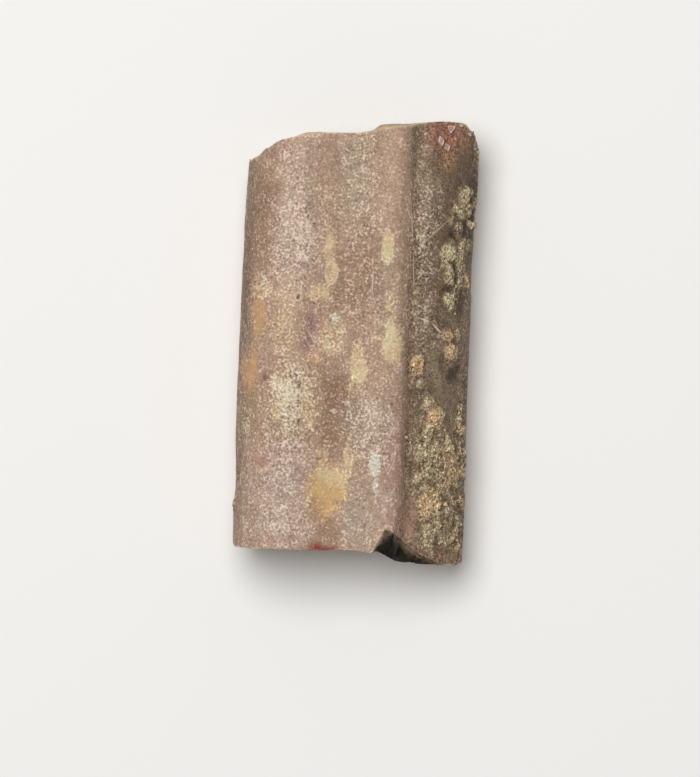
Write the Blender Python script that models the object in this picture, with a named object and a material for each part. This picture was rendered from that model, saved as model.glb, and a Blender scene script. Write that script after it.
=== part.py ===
"""A short section of a fossil sail spine, lying on its side on two worn ridges.

The spine is one stony piece of bone. Its front carries two rounded ridges with a shallow
groove between them, and right of the second ridge a steep step drops to a sloping flank.
Both ends are fractures. The foot end has a notch broken out of its front rim at the step,
and the tip end climbs in two steps and has a scoop at its right corner. Patches of hard
rock matrix still stick to the bone, most of them on the flank. X runs across the spine, Y
along it from the foot to the tip, and Z up through its thickness, with the front on top.
"""

import math
from typing import NamedTuple

import bmesh
import bpy
import numpy as np
from mathutils import Vector, noise

MM = 0.001

# The driving dimensions. The forms below are drawn in millimetres, close to this size, and
# the finished piece is brought to it exactly.
WIDTH = 16.0 * MM
LENGTH = 30.6 * MM
THICKNESS = 9.7 * MM

# How many faces the block has across, along and through.
FACES_ACROSS = 32
FACES_ALONG = 42
FACES_THROUGH = 12

# The outline of a slice in X and Z, clockwise from the front left corner. Each list is one
# side of the slice, and ends where the next begins. The spine passes evenly from the first
# slice, at the foot, to the second, at the tip.
FOOT_SLICE = {
    "front": [
        (-7.35, 7.85), (-6.2, 9.1), (-4.5, 9.8), (-2.7, 9.4), (-1.2, 8.9), (0.3, 9.2),
        (1.7, 9.75), (2.95, 9.6), (3.4, 8.95), (3.75, 8.15), (4.2, 7.85), (4.9, 7.7),
        (6.1, 7.0), (7.1, 5.8),
    ],
    "right": [(7.1, 5.8), (8.0, 4.1), (7.2, 1.8)],
    "under": [
        (7.2, 1.8), (6.0, 0.6), (4.2, 0.0), (2.4, 0.35), (0.2, 0.95), (-2.2, 0.4),
        (-4.2, 0.0), (-6.0, 0.5), (-7.3, 1.8),
    ],
    "left": [(-7.3, 1.8), (-8.0, 4.8), (-7.35, 7.85)],
}
TIP_SLICE = {
    "front": [
        (-7.2, 7.6), (-6.0, 8.85), (-4.2, 9.55), (-2.4, 9.2), (-1.0, 8.85), (0.4, 9.15),
        (1.5, 9.5), (2.4, 9.35), (2.85, 8.95), (3.25, 8.55), (3.8, 8.3), (4.8, 8.05),
        (6.1, 7.25), (7.2, 5.8),
    ],
    "right": [(7.2, 5.8), (8.0, 4.3), (7.3, 1.9)],
    "under": [
        (7.3, 1.9), (6.0, 0.65), (4.3, 0.0), (2.3, 0.4), (0.0, 0.85), (-2.3, 0.35),
        (-4.3, 0.0), (-6.0, 0.5), (-7.3, 1.7),
    ],
    "left": [(-7.3, 1.7), (-8.0, 4.5), (-7.2, 7.6)],
}

# Between its ends the spine bows this far to the left.
BOW = 0.16

# Faces crowd together at the step beside the right ridge, whose lip is the sharpest form,
# and slices crowd together towards both ends.
STEP_X = 3.3
STEP_REACH = 1.3
STEP_CROWDING = 2.2
END_CROWDING = 0.28

# The fractured ends as X and Y: the front rim of the foot with its notch, the deeper break
# behind the notch, and the skyline of the tip with its two steps.
FOOT_RIM = [
    (-8.0, -14.30), (-7.4, -14.46), (1.7, -14.35), (2.38, -13.30), (2.84, -12.86),
    (3.42, -13.44), (4.24, -14.03), (4.96, -14.41), (5.85, -14.69), (6.4, -14.95), (8.0, -15.0),
]
FOOT_DEEP = [
    (-8.0, -14.30), (-7.4, -14.46), (1.7, -14.40), (2.4, -14.65), (3.05, -14.80),
    (3.64, -14.97), (8.0, -15.0),
]
TIP_SKYLINE = [
    (-8.0, 12.4), (-7.3, 12.85), (-6.9, 13.05), (-6.2, 13.7), (-5.1, 14.1), (-4.3, 14.4),
    (-3.0, 14.5), (0.1, 14.6), (0.9, 15.2), (2.4, 15.3), (5.7, 15.6), (6.8, 15.55),
    (7.4, 15.1), (7.8, 13.9), (8.0, 12.6),
]
# How far the front rim of the tip stays below the skyline behind it.
TIP_FRONT_DROP = [
    (-5.2, 0.0), (-4.4, 0.18), (-1.5, 0.16), (0.4, 0.05), (0.9, 0.38), (2.5, 0.3), (4.6, 0.0),
]
# The notch falls steeply from the front rim and meets the deeper break at these depths.
NOTCH_WALL_DEPTH = 0.6
NOTCH_FLOOR_DEPTH = 2.7
TIP_DROP_DEPTH = 1.2
# The broken faces rise and fall by this much, with ledges, and their rims by the nicks.
FRACTURE_ROUGHNESS = 0.45
FRACTURE_GRAIN = 1.7
LEDGE_HEIGHT = 0.22
LEDGE_LENGTH = 2.6
LEDGE_SHARPNESS = 0.08
NICK_HEIGHT = 0.07
NICK_LENGTH = 0.7
# A broken face is at its full roughness this many faces in from its rim.
RIM_FACES = 3
# Where each end's roughness is taken from, so that the two ends differ.
FOOT_SEED = 3.7
TIP_SEED = 9.2

# The bone's skin has slow swells and narrow furrows, both stretched along the spine.
SWELL_HEIGHT, SWELL_ACROSS, SWELL_ALONG = 0.10, 2.3, 6.5
FURROW_HEIGHT, FURROW_ACROSS, FURROW_ALONG = 0.06, 0.95, 9.0


class Patch(NamedTuple):
    """A raised or sunken place on the skin, in millimetres, with a ragged edge."""

    x: float
    y: float
    z: float
    half_width: float
    half_length: float
    height: float


MATRIX_LUMPS = [
    Patch(6.9, 10.4, 6.2, 0.8, 1.5, 0.26),
    Patch(6.9, 7.3, 6.2, 0.9, 1.6, 0.32),
    Patch(6.5, 4.2, 6.8, 0.6, 1.5, 0.30),
    Patch(6.4, 0.0, 6.8, 0.9, 1.2, 0.36),
    Patch(4.2, -1.3, 7.9, 0.8, 0.9, 0.24),
    Patch(5.6, -4.8, 7.4, 0.9, 1.0, 0.40),
    Patch(6.9, -7.3, 6.2, 0.7, 1.4, 0.24),
    Patch(5.0, -9.6, 7.6, 0.9, 1.2, 0.28),
    Patch(6.7, -12.0, 6.4, 0.8, 1.1, 0.24),
    Patch(7.5, -2.5, 2.3, 0.9, 2.6, 0.24),
    Patch(0.2, -8.5, 0.9, 1.3, 3.0, 0.40),
    Patch(-0.6, 5.5, 0.8, 1.0, 2.2, 0.34),
    Patch(-7.5, 4.0, 2.4, 1.0, 2.4, 0.24),
]
SCOOPS = [
    Patch(6.2, 14.5, 7.2, 1.2, 1.7, -0.60),
    Patch(-3.13, 0.56, 9.5, 0.55, 1.1, -0.22),
    Patch(-7.2, 13.1, 7.6, 0.8, 1.0, -0.30),
    Patch(-3.9, -2.6, 9.6, 1.1, 1.4, -0.10),
    Patch(2.2, -12.4, 9.6, 0.5, 0.5, -0.12),
    Patch(-7.9, -9.5, 5.2, 1.1, 2.0, -0.28),
    Patch(6.6, -13.6, 1.2, 1.4, 1.6, -0.45),
]
# A patch is whole within the first share of its size and ends at the second.
PATCH_EDGE = (0.55, 1.15)
PATCH_RAGGEDNESS = 0.35
PATCH_GRAIN = 0.9
# The lumps are this uneven in height.
LUMP_UNEVENNESS = 0.5
LUMP_GRAIN = 0.7
# Skin that faces along the spine more than this belongs to a broken end.
END_FACING = 0.9

# The two underside ridges are worn flat where the spine rests.
WORN_HEIGHT = 0.16


def smooth_step(low, high, value):
    """A smooth rise from 0 at low to 1 at high."""
    share = min(max((value - low) / (high - low), 0.0), 1.0)
    return share * share * (3 - 2 * share)


def height_at(profile, x):
    """The Y of a profile of X and Y points, at x."""
    xs, ys = zip(*profile)
    return float(np.interp(x, xs, ys))


def spline_point(points, place):
    """A point of the Catmull-Rom spline through points, whose place counts from 1."""
    first = min(int(place), len(points) - 3)
    share = place - first
    a, b, c, d = (np.array(p) for p in points[first - 1 : first + 3])
    return 0.5 * (
        2 * b
        + (c - a) * share
        + (2 * a - 5 * b + 4 * c - d) * share**2
        + (3 * b - a - 3 * c + d) * share**3
    )


def slice_sides(tip_share):
    """The four sides of the slice at tip_share, each with a neighbour's point at both ends."""
    sides = {
        name: [
            (
                foot[0] + (tip[0] - foot[0]) * tip_share,
                foot[1] + (tip[1] - foot[1]) * tip_share,
            )
            for foot, tip in zip(FOOT_SLICE[name], TIP_SLICE[name])
        ]
        for name in FOOT_SLICE
    }
    order = list(sides)
    return {
        name: [sides[order[i - 1]][-2], *sides[name], sides[order[(i + 1) % 4]][1]]
        for i, name in enumerate(order)
    }


def spaced(points, count, crowded):
    """count + 1 points along a side, which crowd together at the step where crowded is set."""
    fine = 12 * (len(points) - 3)
    path = np.array(
        [spline_point(points, 1 + (len(points) - 3) * i / fine) for i in range(fine + 1)]
    )
    lengths = np.linalg.norm(np.diff(path, axis=0), axis=1)
    if crowded:
        middles = (path[1:, 0] + path[:-1, 0]) / 2
        lengths *= 1 + STEP_CROWDING * np.exp(-(((middles - STEP_X) / STEP_REACH) ** 2))
    travelled = np.concatenate([[0], np.cumsum(lengths)])
    wanted = np.linspace(0, travelled[-1], count + 1)
    return np.stack([np.interp(wanted, travelled, path[:, axis]) for axis in (0, 1)], axis=1)


def slice_grid(tip_share):
    """The X and Z of every crossing of the block's lines in the slice at tip_share."""
    sides = slice_sides(tip_share)
    front = spaced(sides["front"], FACES_ACROSS, crowded=True)
    under = spaced(sides["under"], FACES_ACROSS, crowded=False)[::-1]
    right = spaced(sides["right"], FACES_THROUGH, crowded=False)[::-1]
    left = spaced(sides["left"], FACES_THROUGH, crowded=False)
    across = np.linspace(0, 1, FACES_ACROSS + 1)[:, None, None]
    through = np.linspace(0, 1, FACES_THROUGH + 1)[None, :, None]
    between_faces = (1 - through) * under[:, None] + through * front[:, None]
    between_sides = (1 - across) * left[None] + across * right[None]
    corners = (1 - across) * ((1 - through) * under[0] + through * front[0]) + across * (
        (1 - through) * under[-1] + through * front[-1]
    )
    return between_faces + between_sides - corners


def scored_block():
    """A block from 0 to 1 on each axis, cut into the wanted number of faces."""
    bm = bmesh.new()
    bmesh.ops.create_cube(bm, size=1.0)
    bmesh.ops.translate(bm, verts=bm.verts, vec=(0.5, 0.5, 0.5))
    for axis, count in enumerate((FACES_ACROSS, FACES_ALONG, FACES_THROUGH)):
        normal = Vector([float(axis == i) for i in range(3)])
        for cut in range(1, count):
            bmesh.ops.bisect_plane(
                bm,
                geom=[*bm.verts, *bm.edges, *bm.faces],
                dist=1e-6,
                plane_co=normal * cut / count,
                plane_no=normal,
            )
    return bm


def foot_height(x, depth):
    """Y of the foot's fracture at x, this deep below the front."""
    floor = smooth_step(NOTCH_WALL_DEPTH, NOTCH_FLOOR_DEPTH, depth)
    rim, deep = height_at(FOOT_RIM, x), height_at(FOOT_DEEP, x)
    return rim + (deep - rim) * floor


def tip_height(x, depth):
    """Y of the tip's fracture at x, this deep below the front."""
    sunk = 1 - smooth_step(0, TIP_DROP_DEPTH, depth)
    return height_at(TIP_SKYLINE, x) - height_at(TIP_FRONT_DROP, x) * sunk


def fracture_rise(x, z, inner, end_seed):
    """The rough rise and fall of a broken end, full where inner is 1 and only nicks at 0."""
    place = Vector((x, end_seed, z))
    rough = noise.fractal(place / FRACTURE_GRAIN, 0.8, 2.1, 3)
    side = noise.noise(place / LEDGE_LENGTH)
    ledge = smooth_step(-LEDGE_SHARPNESS, LEDGE_SHARPNESS, side) - 0.5
    nick = noise.noise(place / NICK_LENGTH)
    return (FRACTURE_ROUGHNESS * rough + LEDGE_HEIGHT * ledge) * inner + NICK_HEIGHT * nick


def shape_block(bm):
    """Moves the block's vertices to the bone's slices and its two fractured ends."""
    even = np.linspace(0, 1, FACES_ALONG + 1)
    crowded = 0.5 - 0.5 * np.cos(math.pi * even)
    stations = (1 - END_CROWDING) * even + END_CROWDING * crowded
    grids = [slice_grid(share) for share in stations]
    for vert in bm.verts:
        i = round(vert.co.x * FACES_ACROSS)
        j = round(vert.co.y * FACES_ALONG)
        k = round(vert.co.z * FACES_THROUGH)
        x, z = grids[j][i, k]
        x -= BOW * math.sin(math.pi * stations[j])
        depth = grids[j][i, FACES_THROUGH][1] - z
        from_rim = min(i, FACES_ACROSS - i, RIM_FACES) * min(k, FACES_THROUGH - k, RIM_FACES)
        inner = from_rim / RIM_FACES**2
        foot = foot_height(x, depth) + fracture_rise(x, z, inner, FOOT_SEED)
        tip = tip_height(x, depth) + fracture_rise(x, z, inner, TIP_SEED)
        vert.co = (x, foot + (tip - foot) * stations[j], z)


def patch_height(place, patch):
    """How far the skin rises or sinks at this place because of the patch."""
    across = math.hypot(place.x - patch.x, place.z - patch.z) / patch.half_width
    along = (place.y - patch.y) / patch.half_length
    ragged = PATCH_RAGGEDNESS * noise.noise(place / PATCH_GRAIN)
    return patch.height * (1 - smooth_step(*PATCH_EDGE, math.hypot(across, along) + ragged))


def relief(place):
    """How far the skin stands out of the plain form."""
    x, y, z = place
    swell = noise.noise(Vector((x / SWELL_ACROSS, y / SWELL_ALONG, z / SWELL_ACROSS)))
    furrow = noise.noise(Vector((x / FURROW_ACROSS, y / FURROW_ALONG, z / FURROW_ACROSS)))
    share = 1 - LUMP_UNEVENNESS * (0.5 - noise.noise(place / LUMP_GRAIN))
    raised = sum(patch_height(place, lump) for lump in MATRIX_LUMPS) * share
    sunk = sum(patch_height(place, scoop) for scoop in SCOOPS)
    return SWELL_HEIGHT * swell + FURROW_HEIGHT * furrow + raised + sunk


def weather(bm):
    """Gives the skin its swells, furrows, matrix lumps and scoops."""
    bm.normal_update()
    moves = {
        vert: vert.normal * relief(vert.co)
        for vert in bm.verts
        if abs(vert.normal.y) < END_FACING
    }
    for vert, move in moves.items():
        vert.co += move


def settle(bm):
    """Wears the ridges flat, and brings the piece to its real size, resting at the origin."""
    lowest = [min(vert.co[axis] for vert in bm.verts) for axis in range(3)]
    highest = [max(vert.co[axis] for vert in bm.verts) for axis in range(3)]
    ground = lowest[2] + WORN_HEIGHT
    for vert in bm.verts:
        vert.co.z = max(vert.co.z, ground)
    middle = Vector(((lowest[0] + highest[0]) / 2, (lowest[1] + highest[1]) / 2, ground))
    scale = (
        WIDTH / (highest[0] - lowest[0]),
        LENGTH / (highest[1] - lowest[1]),
        THICKNESS / (highest[2] - ground),
    )
    bmesh.ops.translate(bm, verts=bm.verts, vec=-middle)
    bmesh.ops.scale(bm, verts=bm.verts, vec=scale)


def bone_material():
    """Stony bone: mauve brown with a dull shine."""
    material = bpy.data.materials.new("fossil_bone")
    material.use_nodes = True
    shader = material.node_tree.nodes["Principled BSDF"]
    shader.inputs["Base Color"].default_value = (0.30, 0.215, 0.165, 1.0)
    shader.inputs["Roughness"].default_value = 0.6
    shader.inputs["Metallic"].default_value = 0.0
    return material


def spine_section():
    """The whole piece as one object."""
    bm = scored_block()
    shape_block(bm)
    weather(bm)
    settle(bm)
    bmesh.ops.triangulate(bm, faces=bm.faces)
    mesh = bpy.data.meshes.new("spine_section")
    bm.to_mesh(mesh)
    bm.free()
    mesh.materials.append(bone_material())
    mesh.shade_smooth()
    mesh.set_sharp_from_angle(angle=math.radians(40))
    section = bpy.data.objects.new("spine_section", mesh)
    bpy.context.scene.collection.objects.link(section)
    return section


for old in list(bpy.data.objects):
    bpy.data.objects.remove(old)
spine_section()
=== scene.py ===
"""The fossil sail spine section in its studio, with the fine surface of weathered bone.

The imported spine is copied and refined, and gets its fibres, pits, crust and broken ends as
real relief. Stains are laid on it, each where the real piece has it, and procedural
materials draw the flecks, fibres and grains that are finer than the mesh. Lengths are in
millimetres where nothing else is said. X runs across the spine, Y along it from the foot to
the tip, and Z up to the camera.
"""

import logging
import math
import random
from collections.abc import Callable, Sequence
from dataclasses import dataclass
from enum import Enum
from functools import partial

import bmesh
import bpy
import numpy as np
from mathutils import Euler, Matrix, Vector, kdtree, noise


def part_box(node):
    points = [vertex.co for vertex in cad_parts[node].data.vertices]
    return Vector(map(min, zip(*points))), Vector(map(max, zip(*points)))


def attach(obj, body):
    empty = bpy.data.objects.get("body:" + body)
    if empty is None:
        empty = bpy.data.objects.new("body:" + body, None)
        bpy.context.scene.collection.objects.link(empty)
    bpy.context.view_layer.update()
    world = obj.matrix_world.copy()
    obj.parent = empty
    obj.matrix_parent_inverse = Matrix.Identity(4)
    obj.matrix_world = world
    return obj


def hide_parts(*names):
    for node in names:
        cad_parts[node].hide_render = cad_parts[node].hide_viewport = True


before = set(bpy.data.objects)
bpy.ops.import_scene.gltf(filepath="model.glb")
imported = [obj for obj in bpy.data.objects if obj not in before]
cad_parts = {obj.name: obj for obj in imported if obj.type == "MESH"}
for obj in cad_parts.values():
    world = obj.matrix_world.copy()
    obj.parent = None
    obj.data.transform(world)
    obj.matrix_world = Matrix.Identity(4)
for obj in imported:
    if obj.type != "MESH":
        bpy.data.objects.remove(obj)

MM = 0.001
NODE = "spine_section"
BODY = "root"

Socket = bpy.types.NodeSocket
AddNode = Callable[..., Socket]
Triple = tuple[float, float, float]
Line = Sequence[tuple[float, float]]

# Settings that many nodes have: a smooth ramp, and a mix of colours.
SMOOTH = {"interpolation_type": "SMOOTHSTEP"}
COLOURS = {"output": 2, "data_type": "RGBA"}

log = logging.getLogger("spine_section_scene")


def linear(code: str) -> tuple[float, float, float, float]:
    """Turns an sRGB hex colour into linear red, green, blue and alpha.

    Args:
        code: The colour as "#RRGGBB".

    Returns:
        The four linear parts from 0 to 1, with an alpha of 1.
    """
    parts = [int(code[i : i + 2], 16) / 255 for i in (1, 3, 5)]
    red, green, blue = (c / 12.92 if c <= 0.04045 else ((c + 0.055) / 1.055) ** 2.4 for c in parts)
    return red, green, blue, 1.0


def smooth_step(low: float, high: float, value: np.ndarray) -> np.ndarray:
    """Rises smoothly from 0 at low to 1 at high.

    Args:
        low: Where the rise starts.
        high: Where the rise ends.
        value: The values to read it at.

    Returns:
        The share for each value.
    """
    share = np.clip((value - low) / (high - low), 0.0, 1.0)
    return share * share * (3 - 2 * share)


def grain(
    points: np.ndarray, size: float | Sequence[float], seed: float = 0.0
) -> np.ndarray:
    """Reads smooth noise at many points.

    Args:
        points: The places in millimetres, one a row.
        size: How long the noise's waves are, every way or along X, Y and Z.
        seed: Shifts the noise, so that two layers differ.

    Returns:
        A value of about -1 to 1 for each point.
    """
    return np.array([noise.noise(place) for place in (points / np.array(size) + seed).tolist()])


def add_node(
    tree: bpy.types.NodeTree,
    kind: str,
    inputs: dict[str | int, object] | None = None,
    output: int = 0,
    **settings: object,
) -> Socket | None:
    """Adds a node with its settings and links.

    Args:
        tree: The node tree that gets the node.
        kind: The shader node's type, such as "TexNoise".
        inputs: For each input's name or number, a socket to link or a value to set.
        output: Which output to return.
        **settings: The node's own properties.

    Returns:
        The chosen output socket, or None where the node has no outputs.
    """
    node = tree.nodes.new("ShaderNode" + kind)
    for name, value in settings.items():
        setattr(node, name, value)
    for name, value in (inputs or {}).items():
        if isinstance(value, Socket):
            tree.links.new(value, node.inputs[name])
        else:
            node.inputs[name].default_value = value
    return node.outputs[output] if node.outputs else None


def begin_material(name: str) -> tuple[bpy.types.Material, AddNode]:
    """Starts a material that has no nodes yet.

    Args:
        name: The material's name.

    Returns:
        The material, and add_node for its own node tree.
    """
    material = bpy.data.materials.new(name)
    material.use_nodes = True
    material.node_tree.nodes.clear()
    return material, partial(add_node, material.node_tree)


def to_mesh(name: str, bm: bmesh.types.BMesh) -> bpy.types.Mesh:
    """Makes a mesh of a finished bmesh, and frees the bmesh.

    Args:
        name: The mesh's name.
        bm: The bmesh.

    Returns:
        The mesh.
    """
    mesh = bpy.data.meshes.new(name)
    bm.to_mesh(mesh)
    bm.free()
    return mesh


def add_object(name: str, data: bpy.types.ID) -> bpy.types.Object:
    """Puts a new object into the scene.

    Args:
        name: The object's name.
        data: Its mesh, lamp or camera.

    Returns:
        The object.
    """
    item = bpy.data.objects.new(name, data)
    bpy.context.scene.collection.objects.link(item)
    return item


def distances(points: np.ndarray, goals: np.ndarray) -> np.ndarray:
    """Finds how far each point is from the nearest goal.

    Args:
        points: The points, one a row.
        goals: The goals, one a row.

    Returns:
        The distance of each point.
    """
    tree = kdtree.KDTree(len(goals))
    for i, goal in enumerate(goals.tolist()):
        tree.insert(goal, i)
    tree.balance()
    return np.array([tree.find(point)[2] for point in points.tolist()])


class Tint(Enum):
    """The colours of the bone, its stains and the rock on it, and of painted shade and highlights,
    as sRGB.
    """

    TAUPE = "#AC8F79"
    GREY_TAUPE = "#A8947F"
    PINK_TAUPE = "#B69782"
    BROWN = "#886851"
    UMBER = "#6C5541"
    GREEN_GREY = "#A9967F"
    PALE_GREY = "#AD9988"
    FROST_PINK = "#C0A594"
    LILAC = "#B59D90"
    PINK = "#AC877B"
    OCHRE = "#D6BB94"
    YELLOW = "#D0AC76"
    CREAM = "#D2C19B"
    CHALK = "#CDC9BA"
    WHITE = "#D2CDBF"
    ORANGE = "#C79C72"
    RUST = "#AF7763"
    PURPLE = "#80525C"
    OLIVE = "#917A5C"
    FLANK = "#7D6A57"
    FLANK_MAUVE = "#9D7E6B"
    SLATE = "#8C7A67"
    TAN = "#BDA888"
    WARM_TAN = "#D9B386"
    DARK = "#3A2B1C"
    HOLE_SHADOW_AND_INFILL = "#17110C"
    RIM_CORTEX_AND_HIGHLIGHT = "#DFC2A5"
    SAND = "#CDB491"
    BLOOD = "#863C2F"
    CORTEX = "#C4A98C"
    MARROW = "#6B5543"

    def colour(self) -> np.ndarray:
        """The colour as linear red, green and blue."""
        return np.array(linear(self.value)[:3])


@dataclass(frozen=True)
class Patch:
    """A place on the front with a ragged edge, whatever the height of the surface there."""

    x: float
    y: float
    half_width: float
    half_length: float
    strength: float
    softness: float
    tint: Tint | None = None
    ragged: float = 1.0

    def share(self, skin: "Skin") -> np.ndarray:
        """How far each point of the skin lies into the patch.

        Args:
            skin: The surface.

        Returns:
            For each point, a value from 0 outside to the patch's strength inside.
        """
        place = skin.points[:, :2] + skin.bend * self.ragged
        across = (place[:, 0] - self.x) / self.half_width
        along = (place[:, 1] - self.y) / self.half_length
        reach = np.hypot(across, along) + skin.ragged * self.ragged
        edge = 1 - smooth_step(1 - self.softness, 1 + self.softness, reach)
        return edge * skin.front * self.strength


def patch_rows(rows: Sequence[tuple], **shared: object) -> list[Patch]:
    """Makes a patch of each row, which holds the patch's values in the order of its fields.

    Args:
        rows: The rows.
        **shared: The values that they share.

    Returns:
        The patches.
    """
    return [Patch(*row, **shared) for row in rows]


# Soft changes in the colour of the bone itself, from the left of the front to the right,
# with painted shade along the step's drop and a darker band along the left edge.
GROUND = patch_rows([
    (-6.6, 9.8, 1.2, 3.0, 0.45, 0.8, Tint.BROWN),
    (-4.6, 6.4, 1.6, 3.3, 0.9, 0.6, Tint.FROST_PINK),
    (-4.9, 11.9, 0.9, 1.9, 0.6, 0.8, Tint.FROST_PINK),
    (-2.3, 10.0, 0.7, 3.8, 0.5, 0.8, Tint.PINK_TAUPE),
    (-0.5, 10.8, 1.1, 3.3, 0.8, 0.8, Tint.GREEN_GREY),
    (1.8, 10.4, 0.7, 2.8, 0.7, 0.8, Tint.PINK_TAUPE),
    (0.0, 4.4, 1.4, 2.6, 0.6, 0.8, Tint.BROWN),
    (-6.6, 6.4, 0.9, 3.4, 0.45, 0.8, Tint.BROWN),
    # These two make the front darker along its left edge.
    (-7.9, 4.0, 0.6, 9.0, 0.75, 0.8, Tint.UMBER),
    (-7.9, -10.0, 0.5, 5.5, 0.6, 0.8, Tint.UMBER),
    (-1.0, -4.7, 1.3, 2.3, 0.78, 0.7, Tint.BROWN),
    (-1.2, -7.2, 0.9, 0.9, 0.5, 0.7, Tint.BROWN),
    (1.3, -5.7, 1.5, 2.0, 0.6, 0.7, Tint.PALE_GREY),
    (0.6, -12.1, 1.1, 2.3, 0.8, 0.6, Tint.PALE_GREY),
    (-4.6, -9.6, 2.0, 2.1, 0.8, 0.6, Tint.LILAC),
    (-4.5, -13.0, 2.2, 1.5, 0.75, 0.6, Tint.LILAC),
    (-6.0, -2.6, 1.1, 1.6, 0.45, 0.7, Tint.PINK),
    (-7.4, -5.2, 0.8, 2.0, 0.7, 0.6, Tint.OLIVE),
    (2.8, -8.6, 0.7, 4.6, 0.7, 0.6, Tint.PINK),
    (2.4, -11.2, 0.5, 1.2, 0.6, 0.6, Tint.LILAC),
    # These two are painted shade along the step's drop, partly the bone's own brown there.
    (3.5, 6.6, 0.3, 6.8, 0.6, 0.7, Tint.BROWN),
    (3.7, -3.0, 0.25, 4.0, 0.4, 0.7, Tint.BROWN),
    (4.1, 10.3, 0.9, 2.4, 0.3, 0.6, Tint.GREY_TAUPE),
    (6.3, 12.0, 1.6, 1.8, 0.65, 0.7, Tint.UMBER),
    (-5.5, 12.6, 0.5, 1.0, 0.5, 0.7, Tint.PINK),
    (-1.1, -3.6, 0.7, 0.8, 0.5, 0.6, Tint.BROWN),
    (-1.2, -13.2, 0.8, 1.0, 0.5, 0.7, Tint.BROWN),
    (-5.2, -4.1, 0.3, 0.6, 0.45, 0.7, Tint.SLATE),
    (5.6, 5.4, 0.7, 3.6, 0.65, 0.7, Tint.UMBER),
    (5.45, -2.4, 0.75, 1.3, 0.6, 0.5, Tint.SLATE),
    (6.8, -5.6, 0.6, 0.9, 0.5, 0.5, Tint.SLATE),
    (7.7, 9.3, 0.45, 3.2, 0.75, 0.8, Tint.DARK),
    (5.0, -11.5, 0.5, 3.5, 0.4, 0.7, Tint.OLIVE),
    (6.8, -11.0, 0.7, 0.8, 0.3, 0.6, Tint.UMBER),
    (6.4, -14.4, 1.6, 0.7, 0.5, 0.6, Tint.BROWN),
    (5.7, -8.0, 2.2, 3.6, 0.7, 0.5, Tint.OLIVE),
    (6.3, -13.2, 1.7, 1.7, 0.6, 0.6, Tint.OLIVE),
    (4.1, -12.1, 0.6, 1.6, 0.9, 0.6, Tint.FLANK_MAUVE),
])

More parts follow.
